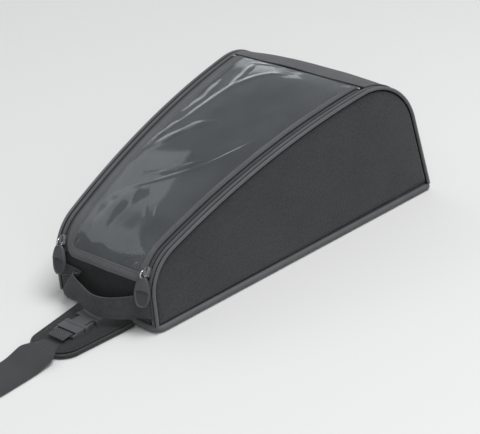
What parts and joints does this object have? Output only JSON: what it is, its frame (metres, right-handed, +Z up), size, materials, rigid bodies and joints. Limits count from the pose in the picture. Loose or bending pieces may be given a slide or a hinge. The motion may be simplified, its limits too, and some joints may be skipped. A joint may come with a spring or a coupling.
{
  "type": "motorcycle tank bag",
  "caption": "Wedge-shaped motorcycle tank bag with a zipped lid, clear map window, slack carrying handle and a rear strap with side-release buckle.",
  "frame": {"origin": "centre of the underside of the base, which stands on the surface", "axes": "+Y towards the handlebars, +X the rider's right, +Z up"},
  "size_m": [0.2316, 0.6854, 0.1655],
  "materials": {
    "ballistic_nylon": "coarse basket weave, matt",
    "plain_nylon": "fine plain weave, slight sheen",
    "dark_nylon": "plain weave, matt",
    "lining": "thin smooth lining",
    "foam": "closed-cell foam",
    "board": "plain sheet",
    "grip_base": "fine ribbed non-slip",
    "clear_film": "clear glossy soft film",
    "binding": "ribbed tape with stitch rows",
    "piping": "smooth covered cord",
    "zip_coil": "ribbed coil",
    "slider_metal": "worn dark lacquer",
    "ring_steel": "bright wire",
    "pull_rubber": "fine grained",
    "webbing": "ribbed webbing with light edge",
    "padded_nylon": "plain weave, padded",
    "strap_nylon": "plain weave, double layer",
    "buckle_plastic": "satin moulded"
  },
  "bodies": {
    "bag": {"base_pad": "grip_base", "base_board": "board", "base_lining": "lining", "front_panel": "plain_nylon", "front_lining": "lining", "rear_panel": "dark_nylon", "rear_lining": "lining", "zip_stops": "slider_metal", "handle_feet": "webbing", "side_panel_left": "ballistic_nylon", "side_foam_left": "foam", "side_lining_left": "lining", "gusset_left": "plain_nylon", "piping_left": "piping", "zip_chain_left": "zip_coil", "side_panel_right": "ballistic_nylon", "side_foam_right": "foam", "side_lining_right": "lining", "gusset_right": "plain_nylon", "piping_right": "piping", "zip_chain_right": "zip_coil"},
    "lid": {"lid_panel": "dark_nylon", "lid_lining": "lining", "lid_window": "clear_film", "lid_hem": "binding", "lid_zip_left": "zip_coil", "lid_zip_right": "zip_coil"},
    "slider_pin_left": {"slider_pin_left": "slider_metal"},
    "slider_left": {"slider_left": "slider_metal"},
    "pull_left": {"pull_ring_left": "ring_steel", "pull_tab_left": "pull_rubber"},
    "slider_pin_right": {"slider_pin_right": "slider_metal"},
    "slider_right": {"slider_right": "slider_metal"},
    "pull_right": {"pull_ring_right": "ring_steel", "pull_tab_right": "pull_rubber"},
    "handle": {"handle": "webbing"},
    "tail": {"tail_tongue": "padded_nylon", "tongue_binding": "binding", "tail_webbing": "webbing"},
    "buckle_female": {"buckle_female": "buckle_plastic"},
    "buckle_male": {"buckle_male": "buckle_plastic"},
    "prong_left": {"buckle_prong_left": "buckle_plastic"},
    "prong_right": {"buckle_prong_right": "buckle_plastic"},
    "seat_strap": {"seat_webbing": "webbing", "seat_strap": "strap_nylon"},
    "front_strap": {"front_webbing": "webbing", "front_ladder_lock": "buckle_plastic"}
  },
  "joints": [
    {"name": "lid_hinge", "type": "hinge", "parent": "bag", "child": "lid", "pos_m": [0, 0.1217, 0.1641], "axis": [-1, 0, 0], "range_deg": [0, 105]},
    {"name": "zip_travel_left", "type": "hinge", "parent": "bag", "child": "slider_pin_left", "pos_m": [-0.08282, -0.02153, 0.01338], "axis": [-0.9954, -0.096, 0], "range_deg": [0, 112]},
    {"name": "slider_tilt_left", "type": "hinge", "parent": "slider_pin_left", "child": "slider_left", "pos_m": [-0.06435, -0.21301, 0.073], "axis": [-0.9954, -0.096, 0], "range_deg": [-40, 0]},
    {"name": "pull_swing_left", "type": "hinge", "parent": "slider_left", "child": "pull_left", "pos_m": [-0.06435, -0.21301, 0.073], "axis": [-0.9954, -0.096, 0], "range_deg": [0, 100]},
    {"name": "zip_travel_right", "type": "hinge", "parent": "bag", "child": "slider_pin_right", "pos_m": [0.08282, -0.02153, 0.01338], "axis": [-0.9954, 0.096, 0], "range_deg": [0, 112]},
    {"name": "slider_tilt_right", "type": "hinge", "parent": "slider_pin_right", "child": "slider_right", "pos_m": [0.06435, -0.21301, 0.073], "axis": [-0.9954, 0.096, 0], "range_deg": [-40, 0]},
    {"name": "pull_swing_right", "type": "hinge", "parent": "slider_right", "child": "pull_right", "pos_m": [0.06435, -0.21301, 0.073], "axis": [-0.9954, 0.096, 0], "range_deg": [0, 100]},
    {"name": "handle_lift", "type": "hinge", "parent": "bag", "child": "handle", "pos_m": [0, -0.2137, 0.045], "axis": [-1, 0, 0], "range_deg": [0, 60]},
    {"name": "tail_droop", "type": "hinge", "parent": "bag", "child": "tail", "pos_m": [0, -0.2148, 0.0021], "axis": [1, 0, 0], "range_deg": [0, 35]},
    {"name": "buckle_lift", "type": "hinge", "parent": "tail", "child": "buckle_female", "pos_m": [0, -0.2276, 0.0088], "axis": [-1, 0, 0], "range_deg": [0, 15]},
    {"name": "buckle_release", "type": "slide", "parent": "buckle_female", "child": "buckle_male", "axis": [0, -1, 0], "range_m": [0, 0.032]},
    {"name": "prong_squeeze_left", "type": "hinge", "parent": "buckle_male", "child": "prong_left", "pos_m": [-0.0092, -0.2617, 0.0088], "axis": [0, 0, -1], "range_deg": [0, 6], "stiffness_Nm_per_rad": 0.04},
    {"name": "prong_squeeze_right", "type": "hinge", "parent": "buckle_male", "child": "prong_right", "pos_m": [0.0092, -0.2617, 0.0088], "axis": [0, 0, 1], "range_deg": [0, 6], "stiffness_Nm_per_rad": 0.04},
    {"name": "seat_strap_swing", "type": "hinge", "parent": "buckle_male", "child": "seat_strap", "pos_m": [0, -0.2777, 0.0088], "axis": [-1, 0, 0], "range_deg": [0, 60]},
    {"name": "front_strap_lift", "type": "hinge", "parent": "bag", "child": "front_strap", "pos_m": [0, 0.2148, 0.0009], "axis": [1, 0, 0], "range_deg": [-30, 60]}
  ],
  "couplings": [
    {"joint": "slider_tilt_left", "follows": "zip_travel_left", "ratio": -0.35714},
    {"joint": "slider_tilt_right", "follows": "zip_travel_right", "ratio": -0.35714},
    {"joint": "prong_squeeze_left", "follows": "prong_squeeze_right", "ratio": 1}
  ]
}
